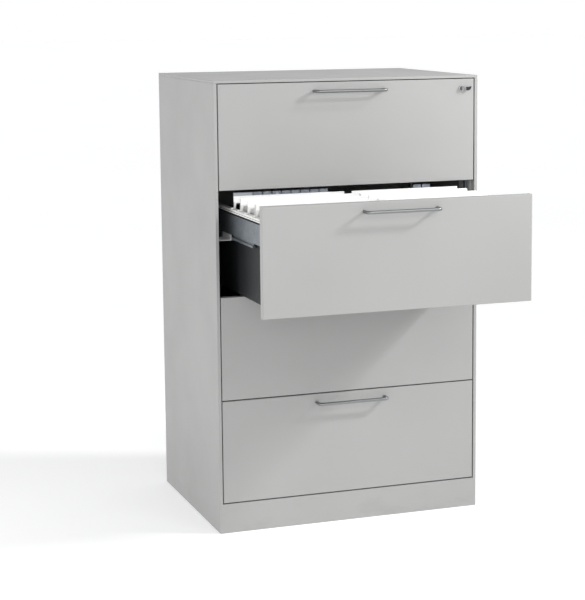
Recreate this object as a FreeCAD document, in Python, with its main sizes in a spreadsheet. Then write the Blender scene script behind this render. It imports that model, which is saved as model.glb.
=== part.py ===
"""Four-drawer suspension-file cabinet in folded sheet steel, with a central lock.

Frame: X to the right, Y to the back, Z up, origin on the floor at the centre of the footprint.
Drawers are numbered from the top. Every drawer piece is drawn in the closed position, with its
height counted from the bottom edge of its own front, and then moved to its place.
The stored pose has drawer 2 open.
"""

import FreeCAD
import Part
import Sketcher
import os
import re

doc = FreeCAD.newDocument("file_cabinet")
sheet = doc.addObject("Spreadsheet::Sheet", "Sizes")

SIZES = [
    ("half_width", 400.0, "half of the cabinet's width"),
    ("half_depth", 300.0, "half of the cabinet's depth"),
    ("cabinet_height", 1292.0, "floor to the top face"),
    ("steel", 1.2, "sheet of the cabinet and the drawer fronts"),
    ("thin_steel", 1.0, "sheet of the trays and the liners"),
    ("post_width", 8.5, "visible front edge of a side panel"),
    ("hem_depth", 20.0, "how far that edge is folded back"),
    ("top_height", 7.5, "folded edge of the top panel"),
    ("seam", 0.5, "joint between the top panel and a side panel"),
    ("plinth_height", 85.0, "floor to the top of the base pan"),
    ("plinth_flange", 20.0, "flange on the floor, all round the plinth"),
    ("gap", 3.0, "gap round a drawer front"),
    ("drawer_pitch", 299.25, "one drawer to the next"),
    ("front_half_width", 388.5, "half of a drawer front's width"),
    ("front_height", 296.25, "drawer front, bottom to top"),
    ("front_depth", 19.0, "drawer front, face to liner"),
    ("edge_round", 2.0, "rounded edges of a drawer front"),
    ("rest_opening", 387.0, "how far drawer 2 stands open"),
    ("tray_half_width", 335.0, "half of the tray's outside width"),
    ("tray_floor", 6.0, "tray's underside above the front's bottom edge"),
    ("tray_top", 236.0, "top of the tray's side walls"),
    ("tray_back", 265.0, "tray's rear face"),
    ("lip_edge", 352.0, "outer edge of the tray's side lips"),
    ("rail_top", 246.0, "top of the file rails"),
    ("rail_inner", 336.0, "inner edge of a side file rail"),
    ("slide_sheet", 1.5, "steel of the slides and brackets"),
    ("slide_front", -279.0, "front end of the slides, closed"),
    ("slide_length", 550.0, "length of each slide member"),
    ("cover_outer", 350.0, "outer face of the drawer member"),
    ("cover_bottom", 173.5, "lower edge of the drawer member"),
    ("cover_height", 57.0, "height of the drawer member"),
    ("runner_outer", 349.0, "outer face of the cabinet member"),
    ("runner_inner", 336.0, "inner face of the cabinet member"),
    ("runner_bottom", 156.0, "underside of the cabinet member"),
    ("runner_height", 16.0, "height of the cabinet member"),
    ("slide_play", 0.8, "clearance of the middle member on each side"),
    ("bracket_outer", 391.0, "outer face of a slide bracket, on the post"),
    ("bracket_height", 22.0, "height of a bracket's outer flange"),
    ("post_depth", 88.0, "depth of a post"),
    ("handle_half", 105.0, "half of the handle's hole spacing"),
    ("handle_height", 271.25, "handle axis above the front's bottom edge"),
    ("handle_reach", 30.0, "front face to the handle's axis"),
    ("handle_radius", 4.5, "radius of the handle's rod"),
    ("handle_bend", 9.0, "bend radius of the rod's axis"),
    ("lock_x", 349.5, "lock axis, from the middle"),
    ("lock_height", 268.25, "lock axis above the front's bottom edge"),
    ("cam_arm", 18.0, "lock axis to the cam's pin"),
    ("cam_pin_radius", 2.5, "radius of the cam's pin"),
    ("bar_x", 376.0, "inner face of the locking bar"),
    ("bar_front", -270.0, "front edge of the locking bar"),
    ("file_front", -171.0, "front of the hanging files, drawer closed"),
    ("file_end", 333.0, "outer end of a row's folders"),
    ("file_back", 105.0, "back of the hanging files, drawer closed"),
]

for row, (alias, value, note) in enumerate(SIZES, start=1):
    sheet.set("A%d" % row, alias)
    sheet.set("B%d" % row, str(value))
    sheet.set("C%d" % row, note)
    sheet.setAlias("B%d" % row, alias)
doc.recompute()

NAMES = re.compile(r"\b(" + "|".join(alias for alias, _, _ in SIZES) + r")\b")
DRAWERS = (1, 2, 3, 4)
subparts = []


def formula(text):
    """An expression with every size name turned into a reference to the sheet."""
    return NAMES.sub(lambda found: "Sizes." + found.group(0), str(text))


def size(alias):
    return sheet.get(alias)


def place(item, x=0, y=0, z=0):
    """Binds the position of an object to expressions."""
    for axis, text in zip("xyz", (x, y, z)):
        item.setExpression("Placement.Base." + axis, formula(text))
    return item


def front_base(number):
    """Height of a drawer front's bottom edge."""
    return "plinth_height + gap + %d * drawer_pitch" % (4 - number)


def opening(number):
    return "rest_opening" if number == 2 else "0"


def subpart(item, label, x=0, y=0, z=0):
    """Names an object as one of the cabinet's pieces and moves it to its place."""
    item.Label = label
    place(item, x, y, z)
    subparts.append(item)
    return item


def drawer_piece(item, name, number):
    """Names a piece of a drawer, such as tray_3."""
    return in_drawer(item, "%s_%d" % (name, number), number)


def in_drawer(item, label, number):
    """Moves a piece from the drawer's own place to where that drawer stands."""
    return subpart(item, label, 0, "-(%s)" % opening(number), front_base(number))


def box(x, y, z):
    """A block between the low and high ends given for each axis."""
    item = doc.addObject("Part::Box", "Block")
    for side, (low, high) in zip(("Length", "Width", "Height"), (x, y, z)):
        item.setExpression(side, formula("(%s) - (%s)" % (high, low)))
    return place(item, x[0], y[0], z[0])


def rod(radius, length, centre, axis="Z"):
    """A cylinder that starts at centre and runs along the axis, or against it for -Y."""
    item = doc.addObject("Part::Cylinder", "Rod")
    item.setExpression("Radius", formula(radius))
    item.setExpression("Height", formula(length))
    turn = {
        "Z": FreeCAD.Rotation(),
        "X": FreeCAD.Rotation(FreeCAD.Vector(0, 1, 0), 90),
        "Y": FreeCAD.Rotation(FreeCAD.Vector(1, 0, 0), -90),
        "-Y": FreeCAD.Rotation(FreeCAD.Vector(1, 0, 0), 90),
    }[axis]
    item.Placement = FreeCAD.Placement(FreeCAD.Vector(0, 0, 0), turn)
    return place(item, *centre)


def fuse(items):
    item = doc.addObject("Part::MultiFuse", "Joined")
    item.Shapes = items
    return item


def cut(base, tools):
    item = doc.addObject("Part::Cut", "Opened")
    item.Base = base
    item.Tool = tools[0] if len(tools) == 1 else fuse(tools)
    return item


def group(items):
    """Separate solids that make one sub-part."""
    item = doc.addObject("Part::Compound", "Set")
    item.Links = items
    return item


def mirrored(item):
    """The same piece on the other side of the cabinet."""
    twin = doc.addObject("Part::Mirroring", "Mirrored")
    twin.Source = item
    twin.Normal = FreeCAD.Vector(1, 0, 0)
    return twin


def pair(item):
    return group([item, mirrored(item)])


def rounded(base, radius, chosen):
    """Rounds the edges for which chosen(edge) is true."""
    doc.recompute()
    item = doc.addObject("Part::Fillet", "Rounded")
    item.Base = base
    picked = [n for n, edge in enumerate(base.Shape.Edges, start=1) if chosen(edge)]
    item.Edges = [(n, size(radius), size(radius)) for n in picked]
    return item


def plane_of(body, role):
    return next(f for f in body.Origin.OriginFeatures if f.Role == role)


def outline(body, role, corners):
    """A closed sketch whose corners are bound to expressions."""
    sketch = body.newObject("Sketcher::SketchObject", "Outline")
    sketch.AttachmentSupport = [(plane_of(body, role), "")]
    sketch.MapMode = "FlatFace"
    doc.recompute()
    count = len(corners)
    spots = [FreeCAD.Vector(worked_out(u), worked_out(v), 0) for u, v in corners]
    for n in range(count):
        sketch.addGeometry(Part.LineSegment(spots[n], spots[(n + 1) % count]), False)
    for n in range(count):
        sketch.addConstraint(Sketcher.Constraint("Coincident", n, 2, (n + 1) % count, 1))
    for n, (u, v) in enumerate(corners):
        for kind, text, spot in (("DistanceX", u, spots[n].x), ("DistanceY", v, spots[n].y)):
            index = sketch.addConstraint(Sketcher.Constraint(kind, -1, 1, n, 1, spot))
            sketch.setExpression("Constraints[%d]" % index, formula(text))
    return sketch


def worked_out(text):
    """The present value of an expression, for a sketch's first drawing."""
    words = NAMES.sub(lambda found: repr(size(found.group(0))), str(text))
    return sheet.evalExpression(words)


def extrusion(corners, role, length, backwards=False):
    """A body padded from one closed outline."""
    body = doc.addObject("PartDesign::Body", "Body")
    sketch = outline(body, role, corners)
    pad = body.newObject("PartDesign::Pad", "Pad")
    pad.Profile = sketch
    pad.setExpression("Length", formula(length))
    pad.Reversed = backwards
    sketch.Visibility = False
    body.Tip = pad
    return body


# --- cabinet -----------------------------------------------------------------


def side_panel(side):
    """Flat sheet with its front edge folded in and then back as a hem."""
    corners = [
        ("-half_width", "-half_depth"),
        ("-half_width + post_width", "-half_depth"),
        ("-half_width + post_width", "-half_depth + hem_depth"),
        ("-half_width + post_width - steel", "-half_depth + hem_depth"),
        ("-half_width + post_width - steel", "-half_depth + steel"),
        ("-half_width + steel", "-half_depth + steel"),
        ("-half_width + steel", "half_depth"),
        ("-half_width", "half_depth"),
    ]
    panel = extrusion(corners, "XY_Plane", "cabinet_height - top_height - seam")
    if side == "left":
        subpart(panel, "side_panel_left")
    else:
        subpart(mirrored(panel), "side_panel_right")


def top_panel():
    """Shallow pan, upside down, that caps the sides and the posts."""
    outside = box(
        ("-half_width", "half_width"),
        ("-half_depth", "half_depth"),
        ("cabinet_height - top_height", "cabinet_height"),
    )
    inside = box(
        ("-half_width + steel", "half_width - steel"),
        ("-half_depth + steel", "half_depth - steel"),
        ("cabinet_height - top_height", "cabinet_height - steel"),
    )

    def upper_edge(edge):
        return edge.BoundBox.ZMin > size("cabinet_height") - 0.01

    softened = rounded(outside, "steel", upper_edge)
    subpart(cut(softened, [inside]), "top_panel")


def back_panel():
    """Rear sheet between the sides, with a pressed field that stiffens it."""
    sheet_part = box(
        ("-half_width + steel", "half_width - steel"),
        ("half_depth - steel", "half_depth"),
        ("0", "cabinet_height - top_height - seam"),
    )
    field = box(
        ("-half_width + 60", "half_width - 60"),
        ("half_depth - 2 * steel", "half_depth - steel"),
        ("plinth_height + 60", "cabinet_height - 80"),
    )
    subpart(fuse([sheet_part, field]), "back_panel")


def base_pan():
    """Floor of the cabinet, notched round the side panels' hems."""
    rear = box(
        ("-half_width + steel", "half_width - steel"),
        ("-half_depth + hem_depth", "half_depth - steel"),
        ("plinth_height - steel", "plinth_height"),
    )
    front = box(
        ("-half_width + post_width", "half_width - post_width"),
        ("-half_depth", "-half_depth + hem_depth"),
        ("plinth_height - steel", "plinth_height"),
    )
    subpart(fuse([front, rear]), "base_pan")


def plinth():
    """Ring under the base pan, with one flat flange on the floor."""
    reach = "half_width - post_width - 0.1"
    back = "half_depth - steel - 0.2"
    outside = box(
        ("-(%s)" % reach, reach), ("-half_depth", back), ("0", "plinth_height - steel")
    )
    inside = box(
        ("-(%s) + slide_sheet" % reach, reach + " - slide_sheet"),
        ("-half_depth + slide_sheet", back + " - slide_sheet"),
        ("slide_sheet", "plinth_height"),
    )
    mouth = box(
        ("-(%s) + plinth_flange" % reach, reach + " - plinth_flange"),
        ("-half_depth + plinth_flange", back + " - plinth_flange"),
        ("-1", "plinth_height"),
    )
    subpart(cut(outside, [inside, mouth]), "plinth")


def post(name, low, slots):
    """Channel that stands against a side panel, open towards it."""
    high = low + " + post_depth"
    web = "bracket_outer"
    corners = [
        ("-" + web, low),
        ("-" + web, high),
        ("-half_width + steel", high),
        ("-half_width + steel", high + " - steel"),
        ("-%s - steel" % web, high + " - steel"),
        ("-%s - steel" % web, low + " + steel"),
        ("-half_width + steel", low + " + steel"),
        ("-half_width + steel", low),
    ]
    body = extrusion(corners, "XY_Plane", "cabinet_height - steel - plinth_height")
    if slots:
        hook_slots(body, low)
    left = subpart(body, name + "_left", 0, 0, "plinth_height")
    twin = mirrored(left)
    subpart(twin, name + "_right")


def hook_slots(body, low):
    """A column of slots up the post, where the slide brackets hook in."""
    slot = outline(
        body,
        "YZ_Plane",
        [
            (low + " + 36", "20"),
            (low + " + 62", "20"),
            (low + " + 62", "28"),
            (low + " + 36", "28"),
        ],
    )
    pocket = body.newObject("PartDesign::Pocket", "Slot")
    pocket.Profile = slot
    pocket.setExpression("Length", formula("bracket_outer + steel + 1"))
    pocket.Reversed = False
    doc.recompute()
    if pocket.Shape.Volume > pocket.BaseFeature.Shape.Volume - 1:
        pocket.Reversed = True
        doc.recompute()
    column = body.newObject("PartDesign::LinearPattern", "Slots")
    column.Originals = [pocket]
    column.Direction = (slot, ["V_Axis"])
    column.setExpression("Length", formula("69 * drawer_pitch / 18"))
    column.Occurrences = 70
    body.Tip = column
    doc.recompute()


def levelling_feet():
    """Four screwed feet, turned up clear of the floor."""
    feet = []
    for x in (-345, 345):
        for y in (-255, 255):
            pad = rod(19, 8, (x, y, 1))
            stud = rod(5, "plinth_height - steel - 9", (x, y, 9))
            nut = rod(8.5, 8, (x, y, "plinth_height - steel - 8"))
            feet.append(fuse([pad, stud, nut]))
    subpart(group(feet), "levelling_feet")


def bracket(number, low, high):
    """Channel between a post and a runner, slotted to guide the locking bar."""
    bottom = "%s + runner_bottom" % front_base(number)
    corners = [
        ("-bracket_outer", "0"),
        ("-runner_outer", "0"),
        ("-runner_outer", "runner_height"),
        ("-runner_outer - slide_sheet", "runner_height"),
        ("-runner_outer - slide_sheet", "slide_sheet"),
        ("-bracket_outer + slide_sheet", "slide_sheet"),
        ("-bracket_outer + slide_sheet", "bracket_height"),
        ("-bracket_outer", "bracket_height"),
    ]
    body = extrusion(corners, "XZ_Plane", "(%s) - (%s)" % (high, low), backwards=True)
    place(body, 0, low, bottom)
    slot = box(
        ("-bar_x - 4", "-bar_x + 1.5"),
        ("bar_front - 2", "bar_front + 16"),
        (bottom + " - 1", bottom + " + slide_sheet + 1"),
    )
    return cut(body, [slot])


def slide_brackets():
    brackets = []
    for number in DRAWERS:
        brackets.append(bracket(number, "slide_front", "slide_front + post_depth - 8"))
        brackets.append(bracket(number, "205", "270"))
    subpart(group(brackets + [mirrored(item) for item in brackets]), "slide_brackets")


def cabinet_slides(number):
    """Runners fixed to the cabinet, open upwards round the foot of the middle member."""
    corners = [
        ("-runner_outer", "0"),
        ("-runner_inner", "0"),
        ("-runner_inner", "runner_height"),
        ("-runner_inner - slide_sheet", "runner_height"),
        ("-runner_inner - slide_sheet", "slide_sheet"),
        ("-runner_outer + slide_sheet", "slide_sheet"),
        ("-runner_outer + slide_sheet", "runner_height"),
        ("-runner_outer", "runner_height"),
    ]
    body = extrusion(corners, "XZ_Plane", "slide_length", backwards=True)
    place(body, 0, "slide_front", "runner_bottom")
    subpart(pair(body), "cabinet_slides_%d" % number, 0, 0, front_base(number))


def middle_slides(number):
    """Members with a foot in the runner and a head in the drawer's cover.

    They run at half the drawer's speed.
    """
    outer = "-runner_outer + slide_sheet + slide_play"
    inner = "-runner_inner - slide_sheet - slide_play"
    middle = "-(runner_outer + runner_inner) / 2"
    web_outer = middle + " - slide_sheet / 2"
    web_inner = middle + " + slide_sheet / 2"
    foot_low = "slide_sheet + slide_play"
    foot_high = "runner_height - 7"
    head_low = "cover_bottom - runner_bottom + 34"
    head_high = "cover_bottom - runner_bottom + cover_height - slide_sheet - 3"
    corners = [
        (outer, foot_low),
        (inner, foot_low),
        (inner, foot_high),
        (web_inner, foot_high),
        (web_inner, head_low),
        (inner, head_low),
        (inner, head_high),
        (outer, head_high),
        (outer, head_low),
        (web_outer, head_low),
        (web_outer, foot_high),
        (outer, foot_high),
    ]
    body = extrusion(corners, "XZ_Plane", "slide_length - 2", backwards=True)
    place(body, 0, "slide_front + 1", "runner_bottom")
    half = "-(%s) / 2" % opening(number)
    subpart(pair(body), "middle_slides_%d" % number, 0, half, front_base(number))


def drawer_slides(number):
    """Covers on the tray's sides, folded down over the heads of the middle members."""
    corners = [
        ("-cover_outer", "0"),
        ("-cover_outer + slide_sheet", "0"),
        ("-cover_outer + slide_sheet", "cover_height - slide_sheet"),
        ("-tray_half_width - slide_sheet", "cover_height - slide_sheet"),
        ("-tray_half_width - slide_sheet", "cover_height - 26"),
        ("-tray_half_width", "cover_height - 26"),
        ("-tray_half_width", "cover_height"),
        ("-cover_outer", "cover_height"),
    ]
    body = extrusion(corners, "XZ_Plane", "slide_length - 6", backwards=True)
    place(body, 0, "slide_front", "cover_bottom")
    drawer_piece(pair(body), "drawer_slides", number)


# --- drawers -----------------------------------------------------------------


def front_shell(number):
    """Folded front, open behind, with holes for the handle's screws and the lock."""
    block = box(
        ("-front_half_width", "front_half_width"),
        ("-half_depth", "-half_depth + front_depth"),
        ("0", "front_height"),
    )

    def face_edge(edge):
        return edge.BoundBox.YMax < -size("half_depth") + 0.01

    softened = rounded(block, "edge_round", face_edge)
    hollow = box(
        ("-front_half_width + steel", "front_half_width - steel"),
        ("-half_depth + steel", "-half_depth + front_depth + 1"),
        ("steel", "front_height - steel"),
    )
    holes = [
        rod(2.25, 10, (side + "handle_half", "-half_depth - 1", "handle_height"), "Y")
        for side in ("-", "")
    ]
    if number == 1:
        holes.append(rod(8.4, 10, ("lock_x", "-half_depth - 1", "lock_height"), "Y"))
    drawer_piece(cut(softened, [hollow] + holes), "front_shell", number)


def front_liner(number):
    """Pan that closes the front from behind."""
    pan = box(
        ("-front_half_width + steel + 0.1", "front_half_width - steel - 0.1"),
        ("-half_depth + front_depth - 12", "-half_depth + front_depth"),
        ("steel + 0.1", "front_height - steel - 0.1"),
    )
    hollow = box(
        ("-front_half_width + 2 * steel + 0.1", "front_half_width - 2 * steel - 0.1"),
        ("-half_depth + front_depth - 13", "-half_depth + front_depth - thin_steel"),
        ("2 * steel + 0.1", "front_height - 2 * steel - 0.1"),
    )
    tools = [hollow]
    if number == 1:
        tools.append(rod(8.8, 40, ("lock_x", "-half_depth", "lock_height"), "Y"))
    drawer_piece(cut(pan, tools), "front_liner", number)


def tray(number):
    """Open steel tray with folded lips, and the catch that the locking bar holds."""
    front = "-half_depth + front_depth"
    outside = box(
        ("-tray_half_width", "tray_half_width"), (front, "tray_back"), ("tray_floor", "tray_top")
    )
    inside = box(
        ("-tray_half_width + thin_steel", "tray_half_width - thin_steel"),
        (front + " - 1", "tray_back - thin_steel"),
        ("tray_floor + thin_steel", "tray_top + 1"),
    )
    lips = [
        box(("-lip_edge", "-tray_half_width + 0.5"), (front, "tray_back"), lip_heights())
    ]
    lips.append(
        box(("tray_half_width - 0.5", "lip_edge"), (front, "tray_back"), lip_heights())
    )
    catch = box(
        ("tray_half_width - 0.5", "bar_x - 2"), ("bar_front + 11.5", "bar_front + 13.5"), ("90", "110")
    )
    drawer_piece(fuse([cut(outside, [inside])] + lips + [catch]), "tray", number)


def lip_heights():
    return ("tray_top - steel", "tray_top")


def file_rails(number):
    """Rails for the hooks of the files: one on each side wall and one down the middle."""
    front = "-half_depth + front_depth"
    side = box(("-lip_edge", "-rail_inner"), (front, "tray_back"), ("tray_top", "rail_top"))
    groove = box(
        ("-lip_edge - 1", "-lip_edge + 4"),
        (front + " - 1", "tray_back + 1"),
        ("tray_top + 3", "tray_top + 6"),
    )
    middle = box(("-6", "6"), (front, "tray_back - thin_steel"), ("rail_top - 20", "rail_top"))
    left = cut(side, [groove])
    drawer_piece(group([left, mirrored(left), middle]), "file_rails", number)


def handle(number):
    """Round rod bent into a bow, with a tapped hole in each foot."""
    reach = "-half_depth - handle_reach"
    bar = rod(
        "handle_radius",
        "2 * (handle_half - handle_bend)",
        ("-handle_half + handle_bend", reach, "handle_height"),
        "X",
    )
    pieces = [bar]
    for side, turn in (("-", 180), ("", 270)):
        leg = rod(
            "handle_radius",
            "handle_reach - handle_bend",
            (side + "handle_half", "-half_depth", "handle_height"),
            "-Y",
        )
        elbow = doc.addObject("Part::Torus", "Elbow")
        elbow.setExpression("Radius1", formula("handle_bend"))
        elbow.setExpression("Radius2", formula("handle_radius"))
        elbow.Angle3 = 90
        upright = FreeCAD.Rotation(FreeCAD.Vector(0, 0, 1), turn)
        elbow.Placement = FreeCAD.Placement(FreeCAD.Vector(0, 0, 0), upright)
        inner = "handle_half - handle_bend"
        place(elbow, "%s(%s)" % (side, inner), reach + " + handle_bend", "handle_height")
        pieces += [leg, elbow]
    bores = [
        rod(2.1, 17, (side + "handle_half", "-half_depth + 1", "handle_height"), "-Y")
        for side in ("-", "")
    ]
    drawer_piece(cut(fuse(pieces), bores), "handle", number)


def handle_screws(number):
    """Two screws from inside the front into the handle's feet."""
    screws = []
    for side in ("-", ""):
        where = (side + "handle_half", "-half_depth + steel", "handle_height")
        shank = rod(2, 15, where, "-Y")
        head = rod(4, 2.6, where, "Y")
        screws.append(fuse([shank, head]))
    drawer_piece(group(screws), "handle_screws", number)


# --- lock, on drawer 1, and locking bar, on the cabinet -----------------------


def lock_part(item, label):
    """Lock pieces are drawn round the lock's axis, with y = 0 on the drawer's face."""
    height = "%s + lock_height" % front_base(1)
    subpart(item, label, "lock_x", "-half_depth", height)


def lock():
    shell = fuse([rod(9, 2, (0, -2, 0), "Y"), rod(8.3, 18.5, (0, 0, 0), "Y")])
    lock_part(cut(shell, [rod(6.05, 40, (0, -5, 0), "Y")]), "lock_housing")

    ring = doc.addObject("Part::Prism", "Nut")
    ring.Polygon = 6
    ring.Circumradius = 12.5
    ring.Height = 3
    turned = FreeCAD.Rotation(FreeCAD.Vector(1, 0, 0), -90)
    ring.Placement = FreeCAD.Placement(FreeCAD.Vector(0, 0, 0), turned)
    place(ring, 0, "steel", 0)
    lock_part(cut(ring, [rod(8.35, 20, (0, -5, 0), "Y")]), "lock_nut")

    barrel = rod(6, 22.9, (0, -2.4, 0), "Y")
    keyway = box(("-1.2", "1.2"), ("-3", "16"), ("-3.5", "3.5"))
    lock_part(cut(barrel, [keyway]), "lock_plug")

    arm = box(("-5", "cam_arm + 3"), ("20.5", "23"), ("-5", "5"))
    pin = rod("cam_pin_radius", 11, ("cam_arm", "22.5", 0), "Y")
    cam = fuse([arm, pin])
    slanted = FreeCAD.Rotation(FreeCAD.Vector(0, 1, 0), 45)
    cam.Placement = FreeCAD.Placement(FreeCAD.Vector(0, 0, 0), slanted)
    lock_part(cam, "lock_cam")


def key():
    """Key in the lock, its bow folded to the right on a small pin."""
    blade = box(("-1.1", "1.1"), ("-11", "14"), ("-3.3", "3.3"))
    eye = rod(1.06, 10, (0, -8.5, -5))
    lock_part(cut(blade, [eye]), "key_blade")

    grip = box(("3.5", "32"), ("-11", "-6"), ("-8", "8"))
    soft = rounded(grip, "edge_round", lambda edge: True)
    ears = [box(("-3", "6"), ("-11", "-6"), ("3.5", "5.5"))]
    ears.append(box(("-3", "6"), ("-11", "-6"), ("-5.5", "-3.5")))
    pin = rod(1, 9, (0, -8.5, -4.5))
    ring_hole = rod(3, 20, (25, -20, 0), "Y")
    lock_part(cut(fuse([soft, pin] + ears), [ring_hole]), "key_bow")


def locking_bar():
    """Flat bar up the right-hand side: a fork for the cam, and one hook for each drawer."""
    rest = "%s + lock_height - cam_arm * 0.70710678" % front_base(1)
    clear = "cam_pin_radius + 0.9"
    strip = box(
        ("bar_x", "bar_x + steel"), ("bar_front", "bar_front + 14"), ("110", "%s + %s + 2" % (rest, clear))
    )
    pieces = [strip]
    for low in ("%s + %s" % (rest, clear), "%s - (%s) - 2" % (rest, clear)):
        pieces.append(
            box(
                ("bar_x - 20", "bar_x + 0.5"),
                ("bar_front - 6", "bar_front + 8"),
                (low, low + " + 2"),
            )
        )
    for number in DRAWERS:
        low = front_base(number) + " + 72"
        pieces.append(
            box(
                ("bar_x - 10", "bar_x + 0.5"),
                ("bar_front + 8", "bar_front + 10.5"),
                (low, low + " + 12"),
            )
        )
    subpart(fuse(pieces), "locking_bar")


# --- hanging files in drawer 2 -------------------------------------------------


def hanging_files():
    """Two rows of files as plain blocks, and the flat rods whose hooks lie on the rails."""
    rods = []
    for name, low, high in (("left", "-file_end", "-22"), ("right", "22", "file_end")):
        block = box((low, high), ("file_front", "file_back"), ("40", "244"))
        upper = box(
            (low + " - 8", high + " + 8"), ("file_front", "file_back"), ("257", "278")
        )
        neck = box((low + " + 6", high + " - 6"), ("file_front", "file_back"), ("243", "258"))
        in_drawer(fuse([block, neck, upper]), "hanging_files_" + name, 2)
    width = "(file_back - file_front) / 4"
    for n in range(4):
        for offset in ("3", width + " - 6"):
            y = "file_front + %d * %s + %s" % (n, width, offset)
            for low in ("-lip_edge + 2", "rail_inner - 1", "-5.5", "1"):
                high = low + (" + 15" if "rail" in low or "lip" in low else " + 4.5")
                rods.append(box((low, high), (y, y + " + 3"), ("rail_top", "rail_top + 5")))
    in_drawer(group(rods), "file_hooks", 2)


def label_tabs():
    """Clear index tabs along the back of both rows."""
    tabs = []
    for x in [-284 + 28.3 * n for n in range(8)] + [203, 231.3]:
        tabs.append(box((x, x + 26), ("file_back - 12", "file_back - 11"), ("278.3", "291")))
    in_drawer(group(tabs), "label_tabs", 2)


def build():
    for side in ("left", "right"):
        side_panel(side)
    top_panel()
    back_panel()
    base_pan()
    plinth()
    post("front_post", "slide_front", True)
    post("rear_post", "half_depth - steel - post_depth - 20", False)
    levelling_feet()
    slide_brackets()
    for number in DRAWERS:
        cabinet_slides(number)
        middle_slides(number)
        drawer_slides(number)
        front_shell(number)
        front_liner(number)
        tray(number)
        file_rails(number)
        handle(number)
        handle_screws(number)
    lock()
    key()
    locking_bar()
    hanging_files()
    label_tabs()


build()
doc.recompute()

faults = [item.Label for item in doc.Objects if {"Invalid", "Error"} & set(item.State)]
faults += [item.Label for item in subparts if item.Shape.isNull() or not item.Shape.isValid()]
if faults:
    raise RuntimeError("not built: " + ", ".join(faults))

os.makedirs("parts", exist_ok=True)
for item in subparts:
    item.Shape.exportStep("parts/" + item.Label + ".step")
print(len(subparts), "sub-parts written")
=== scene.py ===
"""Four-drawer suspension-file cabinet: finishes, files, small fittings, floor and light."""

import math

import bmesh
import bpy
from mathutils import Matrix, Vector


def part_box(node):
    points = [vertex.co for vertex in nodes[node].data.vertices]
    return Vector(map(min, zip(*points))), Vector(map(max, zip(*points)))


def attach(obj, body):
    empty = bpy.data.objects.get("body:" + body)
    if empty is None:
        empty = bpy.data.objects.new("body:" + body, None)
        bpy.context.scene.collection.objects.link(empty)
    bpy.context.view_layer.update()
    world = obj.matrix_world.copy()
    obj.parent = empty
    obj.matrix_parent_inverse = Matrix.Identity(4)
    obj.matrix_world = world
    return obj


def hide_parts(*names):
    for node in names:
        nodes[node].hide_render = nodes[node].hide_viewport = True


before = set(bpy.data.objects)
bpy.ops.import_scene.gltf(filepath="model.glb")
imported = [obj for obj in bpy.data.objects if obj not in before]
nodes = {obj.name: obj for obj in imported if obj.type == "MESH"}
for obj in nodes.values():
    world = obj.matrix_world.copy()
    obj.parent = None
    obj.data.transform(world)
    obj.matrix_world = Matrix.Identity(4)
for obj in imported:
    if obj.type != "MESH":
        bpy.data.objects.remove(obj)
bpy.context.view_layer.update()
scene = bpy.context.scene


# --- finishes ------------------------------------------------------------------


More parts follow.
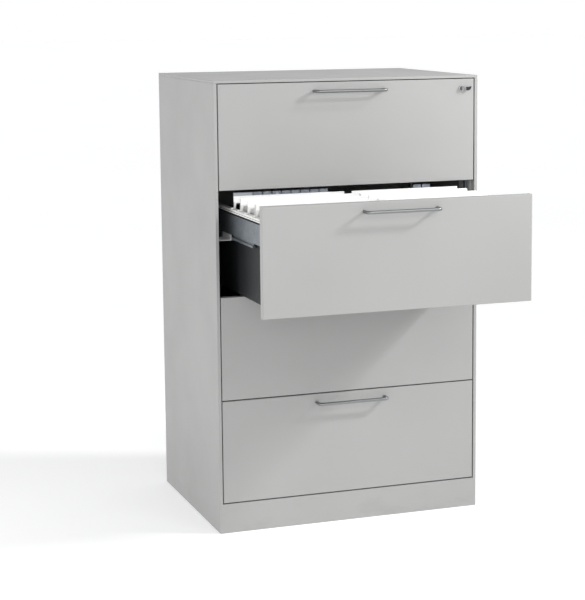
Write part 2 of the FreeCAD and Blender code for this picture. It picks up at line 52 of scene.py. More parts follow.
class Finish:
    """A material with short calls for the patterns that its shader reads."""

    def __init__(self, name, roughness, metallic=0.0, **sockets):
        self.material = bpy.data.materials.new(name)
        self.material.use_nodes = True
        self.tree = self.material.node_tree
        self.shader = self.tree.nodes["Principled BSDF"]
        self.shader.inputs["Roughness"].default_value = roughness
        self.shader.inputs["Metallic"].default_value = metallic
        for socket, value in sockets.items():
            self.shader.inputs[socket.replace("_", " ")].default_value = value
        self.place = self.tree.nodes.new("ShaderNodeTexCoord").outputs["Object"]
        self.height = None

    def node(self, kind, **settings):
        made = self.tree.nodes.new(kind)
        for name, value in settings.items():
            setattr(made, name, value)
        return made

    def link(self, source, target):
        self.tree.links.new(source, target)

    def stretched(self, x, y, z):
        """The surface's own coordinates, stretched for brushed and fibrous patterns."""
        mapping = self.node("ShaderNodeMapping")
        mapping.inputs["Scale"].default_value = (x, y, z)
        self.link(self.place, mapping.inputs["Vector"])
        return mapping.outputs["Vector"]

    def cloud(self, scale, detail=3.0, rough=0.5, along=None):
        """Soft noise from 0 to 1."""
        noise = self.node("ShaderNodeTexNoise")
        noise.inputs["Scale"].default_value = scale
        noise.inputs["Detail"].default_value = detail
        noise.inputs["Roughness"].default_value = rough
        self.link(along or self.place, noise.inputs["Vector"])
        return noise.outputs["Fac"]

    def cells(self, scale):
        """Small patches round many scattered points."""
        cells = self.node("ShaderNodeTexVoronoi", feature="F1")
        cells.inputs["Scale"].default_value = scale
        self.link(self.place, cells.inputs["Vector"])
        return cells

    def spread(self, value, low, high, to_low, to_high):
        """Maps a pattern's range to another range."""
        mapped = self.node("ShaderNodeMapRange")
        ends = {"From Min": low, "From Max": high, "To Min": to_low, "To Max": to_high}
        for name, number in ends.items():
            mapped.inputs[name].default_value = number
        self.link(value, mapped.inputs["Value"])
        return mapped.outputs["Result"]

    def ramp(self, value, stops):
        """Colours along a pattern's range."""
        ramp = self.node("ShaderNodeValToRGB")
        for n, (where, colour) in enumerate(stops):
            elements = ramp.color_ramp.elements
            stop = elements[n] if n < 2 else elements.new(where)
            stop.position = where
            stop.color = (*colour, 1.0)
        self.link(value, ramp.inputs["Fac"])
        return ramp.outputs["Color"]

    def blend(self, first, second, fac):
        """Two colours mixed by a pattern."""
        mix = self.node("ShaderNodeMix", data_type="RGBA")
        self.link(fac, mix.inputs[0])
        self.link(first, mix.inputs[6])
        self.link(second, mix.inputs[7])
        return mix.outputs[2]

    def shaded(self, colour, shade):
        """A colour darkened all over by a pattern of greys."""
        mix = self.node("ShaderNodeMix", data_type="RGBA", blend_type="MULTIPLY")
        mix.inputs[0].default_value = 1.0
        self.link(colour, mix.inputs[6])
        self.link(shade, mix.inputs[7])
        return mix.outputs[2]

    def product(self, first, second):
        times = self.node("ShaderNodeMath", operation="MULTIPLY")
        self.link(first, times.inputs[0])
        self.link(second, times.inputs[1])
        return times.outputs["Value"]

    def colour(self, value):
        self.link(value, self.shader.inputs["Base Color"])

    def rough(self, value):
        self.link(value, self.shader.inputs["Roughness"])

    def relief(self, height, strength, distance):
        """One more layer of bumps, finer or coarser than the ones before."""
        bump = self.node("ShaderNodeBump")
        bump.inputs["Strength"].default_value = strength
        bump.inputs["Distance"].default_value = distance
        self.link(height, bump.inputs["Height"])
        if self.height is not None:
            self.link(self.height, bump.inputs["Normal"])
        self.height = bump.outputs["Normal"]
        self.link(self.height, self.shader.inputs["Normal"])


def scaled(colour, factor):
    return tuple(min(1.0, part * factor) for part in colour)


def powder_coat(name, colour, roughness=0.42, low_darkening=0.0, gloss=0.45):
    """Baked powder paint: orange peel, fine grain, faint clouds and darker streaks towards the
    bottom.
    """
    paint = Finish(name, roughness, Specular_IOR_Level=gloss)
    drift = paint.cloud(2.6, 2.0)
    body = paint.ramp(drift, [(0.3, scaled(colour, 0.972)), (0.7, scaled(colour, 1.022))])
    grain = paint.cloud(1400.0, 2.0, 0.6)
    speck = paint.ramp(grain, [(0.3, (0.955,) * 3), (0.62, (1.0,) * 3)])
    body = paint.shaded(body, speck)
    # Darker streaks towards the bottom, fading out 0.16 m above the floor.
    if low_darkening:
        height = paint.node("ShaderNodeSeparateXYZ")
        paint.link(paint.place, height.inputs[0])
        low = paint.spread(height.outputs["Z"], 0.002, 0.16, 1.0, 0.0)
        streaks = paint.cloud(9.0, 5.0, 0.62, along=paint.stretched(1.0, 1.0, 2.4))
        marks = paint.spread(streaks, 0.52, 0.7, 0.0, low_darkening)
        low_streak_colour = paint.ramp(streaks, [(0.2, scaled(colour, 0.72)), (0.8, scaled(colour, 0.86))])
        body = paint.blend(body, low_streak_colour, paint.product(low, marks))
    paint.colour(body)
    smudge = paint.cloud(7.0, 4.0, 0.55)
    paint.rough(paint.spread(smudge, 0.25, 0.8, roughness - 0.05, roughness + 0.09))
    paint.relief(paint.cloud(380.0, 2.0, 0.45), 0.16, 0.00025)
    paint.relief(grain, 0.10, 0.00008)
    return paint.material


def galvanised(name, colour, roughness=0.4):
    """Zinc-plated sheet with faint crystals and scratches along the travel."""
    zinc = Finish(name, roughness, metallic=0.75)
    crystals = zinc.cells(150.0).outputs["Color"]
    split = zinc.node("ShaderNodeSeparateColor")
    zinc.link(crystals, split.inputs[0])
    body = zinc.ramp(split.outputs[0], [(0.0, scaled(colour, 0.88)), (1.0, scaled(colour, 1.1))])
    lines = zinc.cloud(70.0, 4.0, 0.7, along=zinc.stretched(18.0, 0.35, 18.0))
    dark = zinc.ramp(lines, [(0.35, (0.8,) * 3), (0.6, (1.0,) * 3)])
    zinc.colour(zinc.shaded(body, dark))
    zinc.rough(zinc.spread(zinc.cloud(24.0, 3.0), 0.3, 0.75, roughness - 0.07, roughness + 0.12))
    zinc.relief(lines, 0.12, 0.0001)
    return zinc.material


def brushed_steel(name, colour, roughness, grain, strength=0.1):
    """Satin or polished metal with its grain stretched across the given axes."""
    steel = Finish(name, roughness, metallic=1.0)
    lines = steel.cloud(60.0, 4.0, 0.65, along=steel.stretched(*grain))
    steel.colour(
        steel.ramp(lines, [(0.3, scaled(colour, 0.9)), (0.7, scaled(colour, 1.04))])
    )
    steel.rough(steel.spread(lines, 0.3, 0.7, roughness - 0.04, roughness + 0.06))
    steel.relief(lines, strength, 0.00006)
    return steel.material


def moulded(name, colour, roughness=0.45):
    """Moulded plastic with a fine spark-eroded grain."""
    plastic = Finish(name, roughness, Specular_IOR_Level=0.4)
    grain = plastic.cells(1100.0).outputs["Distance"]
    drift = plastic.cloud(40.0, 3.0)
    plastic.colour(
        plastic.ramp(drift, [(0.3, scaled(colour, 0.9)), (0.7, scaled(colour, 1.08))])
    )
    plastic.rough(plastic.spread(drift, 0.3, 0.7, roughness - 0.05, roughness + 0.07))
    plastic.relief(grain, 0.18, 0.0001)
    return plastic.material


def clear_tab():
    """Hazy clear plastic of the index tabs, rubbed dull in patches."""
    clear = Finish(
        "clear_tab_plastic", 0.18, Transmission_Weight=0.35, IOR=1.46, Specular_IOR_Level=0.5
    )
    haze = clear.cloud(90.0, 3.0)
    clear.colour(clear.ramp(haze, [(0.3, (0.33, 0.36, 0.42)), (0.7, (0.45, 0.49, 0.55))]))
    clear.rough(clear.spread(haze, 0.3, 0.7, 0.1, 0.3))
    clear.relief(haze, 0.08, 0.0002)
    return clear.material


def card(name, colour):
    """Folder card and paper: fibres, faint clouds and no gloss."""
    stock = Finish(name, 0.85, Specular_IOR_Level=0.2)
    fibres = stock.cloud(260.0, 5.0, 0.7, along=stock.stretched(1.0, 4.0, 2.2))
    stock.colour(stock.ramp(fibres, [(0.3, scaled(colour, 0.95)), (0.7, colour)]))
    stock.rough(stock.spread(fibres, 0.3, 0.7, 0.78, 0.92))
    stock.relief(fibres, 0.15, 0.0001)
    return stock.material


def paper_stack():
    """Sheets seen on edge: thin lines across the row, lighter and darker by turns; the darker
    lines are painted shade in the gaps between the sheets.
    """
    stack = Finish("paper_edges", 0.9, Specular_IOR_Level=0.15)
    sheets = stack.cloud(6.0, 6.0, 0.75, along=stack.stretched(0.35, 160.0, 0.5))
    # The darkest stop is painted shade in the gaps between the sheets.
    stops = [(0.28, (0.55, 0.55, 0.54)), (0.42, (0.82, 0.82, 0.81)), (0.62, (0.93, 0.93, 0.92))]
    stack.colour(stack.ramp(sheets, stops))
    stack.rough(stack.spread(sheets, 0.3, 0.7, 0.82, 0.95))
    stack.relief(sheets, 0.4, 0.0006)
    return stack.material


GREY = (0.358, 0.359, 0.353)
FINISHES = {
    "cabinet_paint": powder_coat("cabinet_paint_grey", GREY, 0.44, low_darkening=0.5),
    "front_paint": powder_coat("front_paint_grey", GREY, 0.4, low_darkening=0.35),
    # The posts' paint is the cabinet grey made 1.9 times brighter: painted light standing in for
    # the light that reaches the inner posts.
    "post_paint": powder_coat("post_paint_grey_painted_light", scaled(GREY, 1.9), 0.5),
    "tray_paint": powder_coat("tray_paint_anthracite", (0.0125, 0.0135, 0.0155), 0.46, gloss=0.28),
    "slide_zinc": galvanised("slide_zinc_plated", (0.225, 0.25, 0.275)),
    "handle_steel": brushed_steel("handle_satin_steel", (0.27, 0.28, 0.28), 0.36, (0.4, 22, 22)),
    "screw_steel": brushed_steel("screw_zinc", (0.55, 0.56, 0.56), 0.35, (6, 6, 6)),
    "lock_chrome": brushed_steel("lock_chrome", (0.78, 0.79, 0.8), 0.14, (5, 1, 5), 0.04),
    "black_plastic": moulded("black_plastic", (0.018, 0.018, 0.02)),
    "files": card("folder_card_white", (0.9, 0.9, 0.89)),
    "hook_white": moulded("hook_white_nylon", (0.8, 0.8, 0.79), 0.38),
    "clear_tab": clear_tab(),
}
PAPER = paper_stack()
INSERT = card("insert_grey_blue", (0.3, 0.33, 0.39))
WIDE_INSERT = card("insert_pale", (0.47, 0.49, 0.52))
PLUG = brushed_steel("lock_plug_dulled", (0.1, 0.1, 0.105), 0.3, (5, 1, 5), 0.05)
SHANK = brushed_steel("key_shank_steel", (0.34, 0.34, 0.34), 0.32, (20, 4, 4), 0.05)
RIM = brushed_steel("lock_rim", (0.5, 0.5, 0.5), 0.24, (5, 1, 5), 0.04)

for node in nodes.values():
    slot = node.data.materials[0].name.split(".")[0]
    node.data.materials.clear()
    node.data.materials.append(FINISHES[slot])
nodes["lock_plug"].data.materials[0] = PLUG
nodes["lock_housing"].data.materials[0] = RIM


# --- small shape tools -----------------------------------------------------------


def plain_object(name, work, material):
    """A mesh object at the origin from finished bmesh work."""
    bmesh.ops.remove_doubles(work, verts=work.verts, dist=1e-6)
    bmesh.ops.recalc_face_normals(work, faces=work.faces)
    mesh = bpy.data.meshes.new(name)
    work.to_mesh(mesh)
    work.free()
    mesh.materials.append(material)
    made = bpy.data.objects.new(name, mesh)
    scene.collection.objects.link(made)
    return made


def box_outline(left, low, right, high):
    return [(left, low), (right, low), (right, high), (left, high)]


def add_plate(work, outline, axis, low, high, bevel=0.0):
    """A closed plate: an outline in the two axes other than the given one, from low to high."""
    order = {"y": (0, 2, 1), "z": (0, 1, 2)}[axis]
    rings = []
    for depth in (low, high):
        ring = []
        for u, v in outline:
            spot = (u, v, depth)
            ring.append(work.verts.new([spot[order.index(n)] for n in range(3)]))
        rings.append(ring)
    count = len(outline)
    made = [work.faces.new(rings[0]), work.faces.new(list(reversed(rings[1])))]
    for n in range(count):
        m = (n + 1) % count
        made.append(work.faces.new((rings[0][n], rings[1][n], rings[1][m], rings[0][m])))
    if bevel:
        edges = list({edge for face in made for edge in face.edges})
        bmesh.ops.bevel(work, geom=edges, offset=bevel, segments=1, affect="EDGES")


def add_lathe(work, profile, centre, axis="y", sides=28):
    """A turned solid: (radius, along) points about a line through centre."""
    rings = []
    for radius, along in profile:
        ring = []
        for n in range(sides):
            angle = 2 * math.pi * n / sides
            a, b = radius * math.cos(angle), radius * math.sin(angle)
            offset = {"y": (a, along, b), "z": (a, b, along)}[axis]
            ring.append(work.verts.new(Vector(centre) + Vector(offset)))
        rings.append(ring)
    for low, high in zip(rings, rings[1:]):
        for n in range(sides):
            m = (n + 1) % sides
            work.faces.new((low[n], low[m], high[m], high[n]))
    work.faces.new(rings[0])
    work.faces.new(list(reversed(rings[-1])))


def tree_of(name, inputs):
    """An empty geometry tree with named inputs."""
    tree = bpy.data.node_groups.new(name, "GeometryNodeTree")
    tree.interface.new_socket("Geometry", in_out="INPUT", socket_type="NodeSocketGeometry")
    for label, kind in inputs:
        tree.interface.new_socket(label, in_out="INPUT", socket_type="NodeSocket" + kind)
    tree.interface.new_socket("Geometry", in_out="OUTPUT", socket_type="NodeSocketGeometry")
    return tree


def grown(tree, name, values):
    """Runs a geometry tree on an empty object and returns the plain mesh it makes."""
    seed = bpy.data.objects.new(name + "_seed", bpy.data.meshes.new(name + "_seed"))
    scene.collection.objects.link(seed)
    modifier = seed.modifiers.new("grow", "NODES")
    modifier.node_group = tree
    for item in tree.interface.items_tree:
        if item.in_out == "INPUT" and item.name in values:
            modifier[item.identifier] = values[item.name]
    view = bpy.context.evaluated_depsgraph_get()
    mesh = bpy.data.meshes.new_from_object(seed.evaluated_get(view), depsgraph=view)
    bpy.data.objects.remove(seed)
    mesh.name = name
    made = bpy.data.objects.new(name, mesh)
    scene.collection.objects.link(made)
    return made


def repeat_tree():
    """Copies a base piece along a grid, each copy shifted a little at random."""
    tree = tree_of(
        "repeated_pieces",
        [
            ("Piece", "Object"),
            ("Finish", "Material"),
            ("Columns", "Int"),
            ("Rows", "Int"),
            ("Start", "Vector"),
            ("Column Step", "Vector"),
            ("Row Step", "Vector"),
            ("Shift", "Vector"),
            ("Seed", "Int"),
        ],
    )
    add = tree.nodes.new
    link = tree.links.new
    given = add("NodeGroupInput").outputs
    columns = add("GeometryNodeMeshLine")
    link(given["Columns"], columns.inputs["Count"])
    link(given["Start"], columns.inputs["Start Location"])
    link(given["Column Step"], columns.inputs["Offset"])
    row = add("GeometryNodeMeshLine")
    link(given["Rows"], row.inputs["Count"])
    link(given["Row Step"], row.inputs["Offset"])
    rows = add("GeometryNodeInstanceOnPoints")
    link(columns.outputs["Mesh"], rows.inputs["Points"])
    link(row.outputs["Mesh"], rows.inputs["Instance"])
    spots = add("GeometryNodeRealizeInstances")
    link(rows.outputs["Instances"], spots.inputs["Geometry"])
    number = add("GeometryNodeInputIndex").outputs["Index"]
    opposite = add("ShaderNodeVectorMath")
    opposite.operation = "SCALE"
    opposite.inputs["Scale"].default_value = -1.0
    link(given["Shift"], opposite.inputs[0])
    chance = add("FunctionNodeRandomValue")
    chance.data_type = "FLOAT_VECTOR"
    link(opposite.outputs["Vector"], chance.inputs["Min"])
    link(given["Shift"], chance.inputs["Max"])
    link(number, chance.inputs["ID"])
    link(given["Seed"], chance.inputs["Seed"])
    moved = add("GeometryNodeSetPosition")
    link(spots.outputs["Geometry"], moved.inputs["Geometry"])
    link(chance.outputs["Value"], moved.inputs["Offset"])
    piece = add("GeometryNodeObjectInfo")
    link(given["Piece"], piece.inputs["Object"])
    copies = add("GeometryNodeInstanceOnPoints")
    link(moved.outputs["Geometry"], copies.inputs["Points"])
    link(piece.outputs["Geometry"], copies.inputs["Instance"])
    solid = add("GeometryNodeRealizeInstances")
    link(copies.outputs["Instances"], solid.inputs["Geometry"])
    finish = add("GeometryNodeSetMaterial")
    link(solid.outputs["Geometry"], finish.inputs["Geometry"])
    link(given["Finish"], finish.inputs["Material"])
    result = add("NodeGroupOutput")
    link(finish.outputs["Geometry"], result.inputs["Geometry"])
    return tree


REPEAT = repeat_tree()
NO_STEP = (0.0, 0.0, 0.0)


def repeated(name, base, finish, body, slot, grid, shift=NO_STEP, seed=1):
    """One piece made of many copies of a base, riding on one body.

    The grid is (start, columns, column step, rows, row step).
    """
    start, columns, column_step, rows, row_step = grid
    made = grown(
        REPEAT,
        name,
        {
            "Piece": base,
            "Finish": finish,
            "Columns": columns,
            "Rows": rows,
            "Start": start,
            "Column Step": column_step,
            "Row Step": row_step,
            "Shift": shift,
            "Seed": seed,
        },
    )
    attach(made, body)
    return made


def forget(*bases):
    """Removes the pieces that were only there to be copied."""
    for base in bases:
        bpy.data.objects.remove(base)


# --- files in drawer 2 -------------------------------------------------------------

FOLDERS = 4
HALF_WIDTH = 0.1655
ROW_INNER = 0.022
ROW_OUTER = 0.333
file_low, file_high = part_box("hanging_files_left")
row_front, row_back = file_low.y, file_high.y
pitch = (row_back - row_front) / FOLDERS
rail_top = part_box("file_rails_2")[1].z
folder_foot = file_low.z
folder_top = file_high.z


def folder_sheet(half, thick=0.0007):
    """Card of one wide folder: down from the front rod, under the papers, up to the back rod."""
    crown = folder_top + 0.003
    strip = 0.0195
    shoulder = 0.048
    hem = [
        (half - 0.0030, crown - 0.0165),
        (half - 0.0030, crown - 0.0012),
        (half - 0.0022, crown),
        (half - 0.0006, crown),
        (half + 0.0003, crown - 0.0014),
        (half + 0.0003, crown - 0.0182),
        (half - 0.0004, crown - 0.0193),
        (half - 0.0006, crown - 0.0206),
    ]
    wall = [
        (half - 0.0006, crown - 0.047),
        (half - 0.0006, crown - 0.049),
        (half - 0.001, folder_foot + 0.07),
        (half - 0.0012, folder_foot + 0.012),
        (half - 0.006, folder_foot + 0.002),
    ]
    path = hem + wall
    path += [(-y, z) for y, z in reversed(path)]
    work = bmesh.new()
    rows = []
    columns = 15
    for y, z in path:
        drop = crown - z
        if drop < strip:
            reach = HALF_WIDTH - 0.001 * max(0.0, 1 - drop / 0.0012)
        elif drop < shoulder:
            reach = HALF_WIDTH - 0.0235
        else:
            reach = HALF_WIDTH - 0.0105
        row = []
        for n in range(columns):
            across = -1 + 2 * n / (columns - 1)
            sag = 0.0011 * math.sin(2.3 * across + 40 * z) * min(1.0, drop / 0.05)
            row.append(work.verts.new((across * reach, y + sag * math.copysign(1, y), z)))
        rows.append(row)
    for low, high in zip(rows, rows[1:]):
        for n in range(columns - 1):
            work.faces.new((low[n], low[n + 1], high[n + 1], high[n]))
    bmesh.ops.recalc_face_normals(work, faces=work.faces)
    bmesh.ops.solidify(work, geom=list(work.faces), thickness=thick)
    return plain_object("folder_sheet", work, FINISHES["files"])


def folder_contents(half):
    """Inner folders and papers of one wide folder, in stacks of unequal height."""
    work = bmesh.new()
    y = -half + 0.0042
    heights = (10, 5, 12, 7, 4, 9, 3, 8, 6, 11, 5)
    widths = (5.2, 3.1, 6.4, 4.0, 2.6, 5.6, 3.4, 6.0, 4.4, 5.0, 3.6)
    total = sum(widths)
    room = 2 * half - 0.0084
    for n, (drop, width) in enumerate(zip(heights, widths)):
        deep = room * width / total
        top = folder_top - 0.003 - 0.0009 * drop
        left = -0.141 - 0.0006 * ((n * 7) % 5)
        right = 0.141 + 0.0006 * ((n * 3) % 6)
        outline = [
            (left, folder_foot + 0.006),
            (right, folder_foot + 0.006),
            (right, top - 0.002 - 0.0003 * (n % 3)),
            (right - 0.02, top),
            (left + 0.03, top - 0.0012 * (n % 2)),
            (left, top - 0.0025),
        ]
        add_plate(work, outline, "y", y + 0.0002, y + deep - 0.0004)
        y += deep
    return plain_object("folder_contents", work, PAPER)


def rod_ends(half):
    """Hooked ends of the two flat rods of one folder."""
    work = bmesh.new()
    outer = HALF_WIDTH
    lift = rail_top + 0.0003
    hook = [
        (outer - 0.030, folder_top - 0.0125),
        (outer - 0.0006, folder_top - 0.0125),
        (outer - 0.0002, lift + 0.0032),
        (outer + 0.0084, lift + 0.0026),
        (outer + 0.0088, lift),
        (outer - 0.0052, lift),
        (outer - 0.0062, folder_top - 0.0163),
        (outer - 0.030, folder_top - 0.0163),
    ]
    for side in (-1, 1):
        outline = [(side * x, z) for x, z in hook]
        for end in (-1, 1):
            y = end * (half - 0.0030)
            add_plate(work, outline, "y", y - 0.0016, y + 0.0016, bevel=0.0004)
    return plain_object("rod_ends", work, FINISHES["hook_white"])


half_folder = pitch / 2 - 0.0016
sheet_base = folder_sheet(half_folder)
contents_base = folder_contents(half_folder)
ends_base = rod_ends(half_folder)
for side, node, seed in ((-1, "hanging_files_left", 4), (1, "hanging_files_right", 9)):
    name = node.replace("hanging_files", "files")
    start = (side * (ROW_OUTER + ROW_INNER) / 2, row_front + pitch / 2, 0.0)
    where = {
        "body": "drawer_2",
        "grid": (start, FOLDERS, (0.0, pitch, 0.0), 1, NO_STEP),
        "shift": (0.0012, 0.0006, 0.0),
        "seed": seed,
    }
    sheets = repeated(name + "_sheets", sheet_base, FINISHES["files"], slot="files", **where)
    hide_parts(node)
    repeated(name + "_papers", contents_base, PAPER, slot="files", **where)
    hooks = repeated(
        name + "_hooks", ends_base, FINISHES["hook_white"], slot="hook_white", **where
    )
    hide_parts("file_hooks")
forget(sheet_base, contents_base, ends_base)


def index_tab():
    """One small clear tab: two faces joined along the top, with two clip feet."""
    work = bmesh.new()
    outline = [
        (0.0, 0.0),
        (TAB_WIDTH, 0.0),
        (0.0246, 0.0118),
        (0.0238, TAB_HEIGHT),
        (0.0014, TAB_HEIGHT),
        (0.0006, 0.0118),
    ]
    add_plate(work, outline, "y", -0.0009, -0.0004, bevel=0.0001)
    add_plate(work, outline, "y", 0.0004, 0.0009, bevel=0.0001)
    add_plate(work, box_outline(0.0014, 0.0121, 0.0238, 0.0127), "y", -0.0009, 0.0009)
    for x in (0.004, 0.0175):
        add_plate(work, box_outline(x, -0.004, x + 0.004, 0.001), "y", -0.0004, 0.0004)
    return plain_object("index_tab", work, FINISHES["clear_tab"])


def tab_insert(wide, high, paper):
    """Paper strip inside a tab."""
    side = 0.0016
    edge = 0.0014
    work = bmesh.new()
    add_plate(work, box_outline(side, edge, wide - side, high - edge), "y", -0.00025, 0.00025)
    return plain_object("tab_insert", work, paper)


def wide_tab():
    """Backing of the long tab at the outer end of the last folder on the left."""
    work = bmesh.new()
    outline = [
        (0.0, -0.0095),
        (WIDE_TAB_WIDTH, -0.0095),
        (WIDE_TAB_WIDTH, 0.0116),
        (WIDE_TAB_WIDTH - 0.0009, 0.0124),
        (0.0009, 0.0124),
        (0.0, 0.0116),
    ]
    add_plate(work, outline, "y", 0.0004, 0.0009, bevel=0.0001)
    return plain_object("wide_tab", work, FINISHES["clear_tab"])


TAB_WIDTH = 0.0252
TAB_HEIGHT = 0.0126
TAB_STEP = (0.0283, 0.0, 0.0)
WIDE_TAB_WIDTH = 0.0575
WIDE_TAB_LEFT = -0.3427
RIGHT_TABS_LEFT = 0.203
tab_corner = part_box("label_tabs")[0]
tab_plane = row_back - 0.0010
tab_base = index_tab()
insert_base = tab_insert(TAB_WIDTH, TAB_HEIGHT, INSERT)
for name, left, count in (("left", tab_corner.x, 8), ("right", RIGHT_TABS_LEFT, 2)):
    grid = ((left + 0.0004, tab_plane, tab_corner.z), count, TAB_STEP, 1, NO_STEP)
    tabs = repeated(
        "tabs_" + name, tab_base, FINISHES["clear_tab"], "drawer_2", "clear_tab", grid
    )
    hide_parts("label_tabs")
    repeated("tab_inserts_" + name, insert_base, INSERT, "drawer_2", "files", grid)
wide_base = wide_tab()
wide_insert = tab_insert(WIDE_TAB_WIDTH, 0.0122, WIDE_INSERT)
grid = ((WIDE_TAB_LEFT, tab_plane, tab_corner.z), 1, NO_STEP, 1, NO_STEP)
repeated("wide_tab", wide_base, FINISHES["clear_tab"], "drawer_2", "clear_tab", grid)
repeated("wide_tab_insert", wide_insert, WIDE_INSERT, "drawer_2", "files", grid)
forget(tab_base, insert_base, wide_base, wide_insert)


# --- rivets of the back panel ---------------------------------------------------------


def rivet(radius, height):
    """Low domed head standing along Y."""
    work = bmesh.new()
    profile = [
        (radius, 0.0),
        (radius, 0.25 * height),
        (0.82 * radius, 0.7 * height),
        (0.4 * radius, height),
    ]
    add_lathe(work, profile, NO_STEP, sides=14)
    return plain_object("rivet", work, FINISHES["cabinet_paint"])


back_low, back_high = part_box("back_panel")
RIVET_EDGE = 0.022
across = (back_high.x - back_low.x - 2 * RIVET_EDGE) / 6
upward = (back_high.z - back_low.z - 2 * RIVET_EDGE) / 9
corner = (back_low.x + RIVET_EDGE, back_high.y - 0.0001, back_low.z + RIVET_EDGE)
second = (corner[0], corner[1], corner[2] + upward)
rivet_base = rivet(0.0034, 0.0009)
for name, grid in (
    ("back_rivets_across", (corner, 7, (across, 0.0, 0.0), 2, (0.0, 0.0, 9 * upward))),
    ("back_rivets_up", (second, 2, (6 * across, 0.0, 0.0), 8, (0.0, 0.0, upward))),
):
    repeated(
        name, rivet_base, FINISHES["cabinet_paint"], "cabinet", "cabinet_paint", grid, seed=3
    )
forget(rivet_base)


# --- lock and key ------------------------------------------------------------------------

plug_low, plug_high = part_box("lock_plug")
lock_axis = (plug_low + plug_high) / 2
key_low, key_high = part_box("key_bow")
key_middle = (key_low.y + key_high.y) / 2


def key_grip():
    """Black grip moulded over the key's bow, thick in the middle and thin at its rim."""
    centre = Vector((lock_axis.x, key_middle, lock_axis.z))
    rim = [
        (14.6, -4.2),
        (14.2, 3.4),
        (17.0, 5.4),
        (22.5, 5.2),
        (27.0, 6.9),
        (30.2, 7.4),
        (31.7, 5.2),
        (30.0, 0.6),
        (27.4, -4.2),
        (24.2, -7.3),
        (19.6, -7.7),
        (16.4, -6.6),
    ]
    sections = ((2.6, -2.4), (0.9, -2.1), (0.0, -0.8), (0.0, 0.8), (0.9, 2.1), (2.6, 2.4))
    work = bmesh.new()
    order = []
    for inset, depth in sections:
        pull = 1 - inset / 9.0
        ring = []
        for x, z in rim:
            spot = (18.9 + (x - 22.8) * pull, depth, 0.3 + 0.78 * z * pull)
            ring.append(work.verts.new(centre + Vector(spot) / 1000))
        order.append(ring)
    count = len(rim)
    for low, high in zip(order, order[1:]):
        for n in range(count):
            m = (n + 1) % count
            work.faces.new((low[n], low[m], high[m], high[n]))
    work.faces.new(order[0])
    work.faces.new(list(reversed(order[-1])))
    grip = plain_object("key_grip", work, FINISHES["black_plastic"])
    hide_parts("key_bow")
    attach(grip, "key_bow")


def key_shank():
    """Steel neck between the folding pin and the grip, forked round the blade."""
    work = bmesh.new()
    x, y, z = lock_axis.x, key_middle, lock_axis.z
    neck = [
        (x + 0.0036, z - 0.0031),
        (x + 0.0125, z - 0.0022),
        (x + 0.0125, z + 0.0022),
        (x + 0.0036, z + 0.0031),
    ]
    add_plate(work, neck, "y", y - 0.0011, y + 0.0011, bevel=0.0003)
    ear = box_outline(x - 0.0026, y - 0.0019, x + 0.0050, y + 0.0019)
    for level in (0.0036, -0.0052):
        add_plate(work, ear, "z", z + level, z + level + 0.0016, bevel=0.0003)
    bridge = box_outline(x + 0.0036, y - 0.0014, x + 0.0052, y + 0.0014)
    add_plate(work, bridge, "z", z - 0.0045, z + 0.0045)
    add_lathe(work, [(0.0009, -0.0055), (0.0009, 0.0055)], (x, y, z), "z", 12)
    shank = plain_object("key_shank", work, SHANK)
    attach(shank, "key_bow")


key_grip()
key_shank()


# --- camera, floor and light ---------------------------------------------------------


def camera():
    data = bpy.data.cameras.new("camera")
    data.sensor_width = 36.0
    data.lens = 105.53
    data.shift_x = -0.0768
    data.shift_y = -0.09
    data.clip_start = 0.1
    data.clip_end = 200.0
    made = bpy.data.objects.new("camera", data)
    right = Vector((0.937817, -0.347077, -0.006122))
    forward = Vector((0.342912, 0.929016, -0.13907))
    up = Vector((0.053955, 0.128323, 0.990264))
    turned = Matrix((right, up, -forward)).transposed().to_4x4()
    made.matrix_world = Matrix.Translation((-1.765, -4.9876, 1.5137)) @ turned
    scene.collection.objects.link(made)
    scene.camera = made


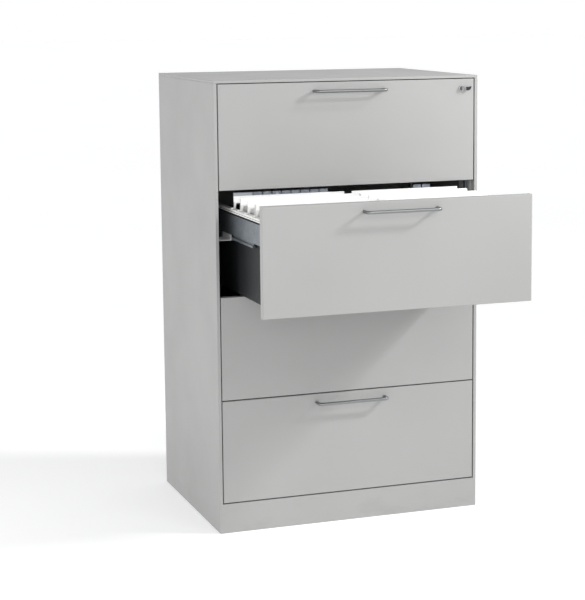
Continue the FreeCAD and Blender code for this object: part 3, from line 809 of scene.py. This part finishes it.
def floor():
    work = bmesh.new()
    bmesh.ops.create_grid(work, x_segments=4, y_segments=4, size=60.0)
    ground = Finish("floor_white", 0.9, Specular_IOR_Level=0.1)
    ground.colour(ground.ramp(ground.cloud(0.6, 2.0), [(0.3, (0.93,) * 3), (0.7, (0.95,) * 3)]))
    ground.shader.inputs["Emission Color"].default_value = (1.0, 1.0, 1.0, 1.0)
    ground.shader.inputs["Emission Strength"].default_value = 0.24
    made = plain_object("floor", work, ground.material)
    made.data.transform(Matrix.Translation((0, 0, -0.0005)))


def light(name, kind, place, aim, energy, **settings):
    data = bpy.data.lights.new(name, kind)
    data.energy = energy
    for label, value in settings.items():
        setattr(data, label, value)
    made = bpy.data.objects.new(name, data)
    made.location = place
    made.rotation_mode = "QUATERNION"
    made.rotation_quaternion = (Vector(aim) - Vector(place)).to_track_quat("-Z", "Y")
    scene.collection.objects.link(made)
    return made


def studio():
    world = bpy.data.worlds.new("studio")
    scene.world = world
    world.use_nodes = True
    sky = world.node_tree
    height = sky.nodes.new("ShaderNodeSeparateXYZ")
    sky.links.new(sky.nodes.new("ShaderNodeTexCoord").outputs["Generated"], height.inputs[0])
    dome = sky.nodes.new("ShaderNodeValToRGB")
    dome.color_ramp.elements[0].position = 0.12
    dome.color_ramp.elements[0].color = (1.0, 1.0, 1.0, 1.0)
    dome.color_ramp.elements[1].position = 0.75
    dome.color_ramp.elements[1].color = (0.52, 0.525, 0.53, 1.0)
    sky.links.new(height.outputs["Z"], dome.inputs["Fac"])
    sky.links.new(dome.outputs["Color"], sky.nodes["Background"].inputs["Color"])
    sun = Vector((-0.755, 0.343, -0.56)).normalized()
    light("floor_sun", "SUN", -6 * sun, (0, 0, 0), 1.0, angle=math.radians(8))
    light(
        "key", "AREA", (2.1, -1.49, 2.3), (0.45, -0.4, 1.1), 4.3,
        shape="DISK", size=0.22, spread=math.radians(56),
    )
    light(
        "front_fill", "AREA", (-0.9, -3.9, 1.25), (0.0, -0.3, 0.75), 22.0,
        shape="RECTANGLE", size=1.6, size_y=1.4,
    )
    light(
        "right_panel", "AREA", (0.45, -2.0, 1.75), (0.15, -0.3, 1.0), 1.6,
        shape="RECTANGLE", size=0.6, size_y=0.6, spread=math.radians(100),
    )
    light(
        "left_panel", "AREA", (-2.3, -0.3, 0.85), (-0.4, 0.05, 0.75), 8.0,
        shape="RECTANGLE", size=1.2, size_y=1.0,
    )
    scene.view_settings.view_transform = "Standard"
    scene.view_settings.look = "None"


camera()
floor()
studio()
